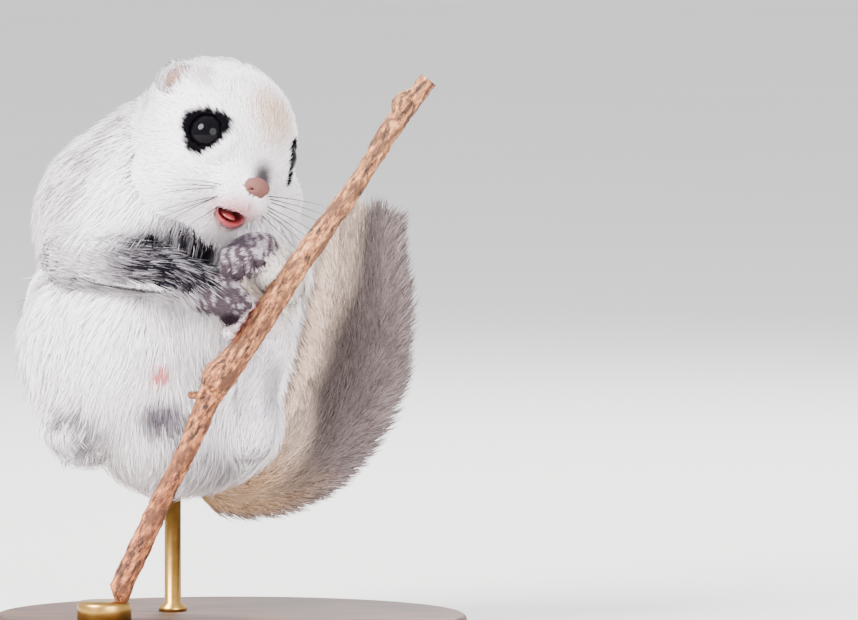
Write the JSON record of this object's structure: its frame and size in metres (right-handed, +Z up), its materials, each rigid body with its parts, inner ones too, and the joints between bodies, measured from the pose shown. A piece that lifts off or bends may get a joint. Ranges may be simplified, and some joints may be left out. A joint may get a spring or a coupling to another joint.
{
  "type": "flying squirrel museum model",
  "caption": "Life-size still model of a small flying squirrel sitting upright behind a cut twig, held by a rod on an oval display base.",
  "frame": {"origin": "centre of the underside of the oval display base", "axes": "+Z up, along the height; -Y towards the side that the animal's belly faces; +X towards the animal's left"},
  "size_m": [0.114, 0.084, 0.1388],
  "materials": {
    "white_fur": "dense soft winter fur, white with a faint pink tint",
    "grey_fur": "soft fur, pale grey with darker streaks",
    "dark_fur": "soft fur, charcoal with pale hair tips",
    "paw_fur": "short fur, grey with a lavender tint",
    "foot_fur": "short fur, white, with pink skin inside the toes",
    "tail_fur": "long soft hair, cream to grey brown",
    "nose": "bare skin, dusty pink, slightly moist",
    "mouth": "bare skin, red, moist",
    "eye": "polished, black",
    "bark": "flaky bark, tan to orange brown",
    "stand_wood": "turned hardwood, dark, satin lacquer",
    "stand_metal": "brushed"
  },
  "bodies": {
    "root": {"head": "white_fur", "lower_jaw": "white_fur", "tongue": "mouth", "nose": "nose", "eye_right": "eye", "eye_left": "eye", "ear_right": "grey_fur", "ear_left": "grey_fur", "neck": "grey_fur", "chest": "grey_fur", "abdomen": "white_fur", "rump": "white_fur", "upper_arm_right": "grey_fur", "upper_arm_left": "white_fur", "thigh_right": "white_fur", "thigh_left": "white_fur", "forearm_right": "dark_fur", "forearm_left": "white_fur", "shank_right": "white_fur", "shank_left": "white_fur", "hand_right": "paw_fur", "hand_left": "paw_fur", "foot_right": "foot_fur", "foot_left": "foot_fur", "membrane_right": "white_fur", "membrane_left": "white_fur", "tail_root": "tail_fur", "tail_middle": "tail_fur", "tail_tip": "tail_fur", "twig": "bark", "stand_base": "stand_wood", "stand_rod": "stand_metal", "stand_socket": "stand_metal"}
  },
  "joints": []
}
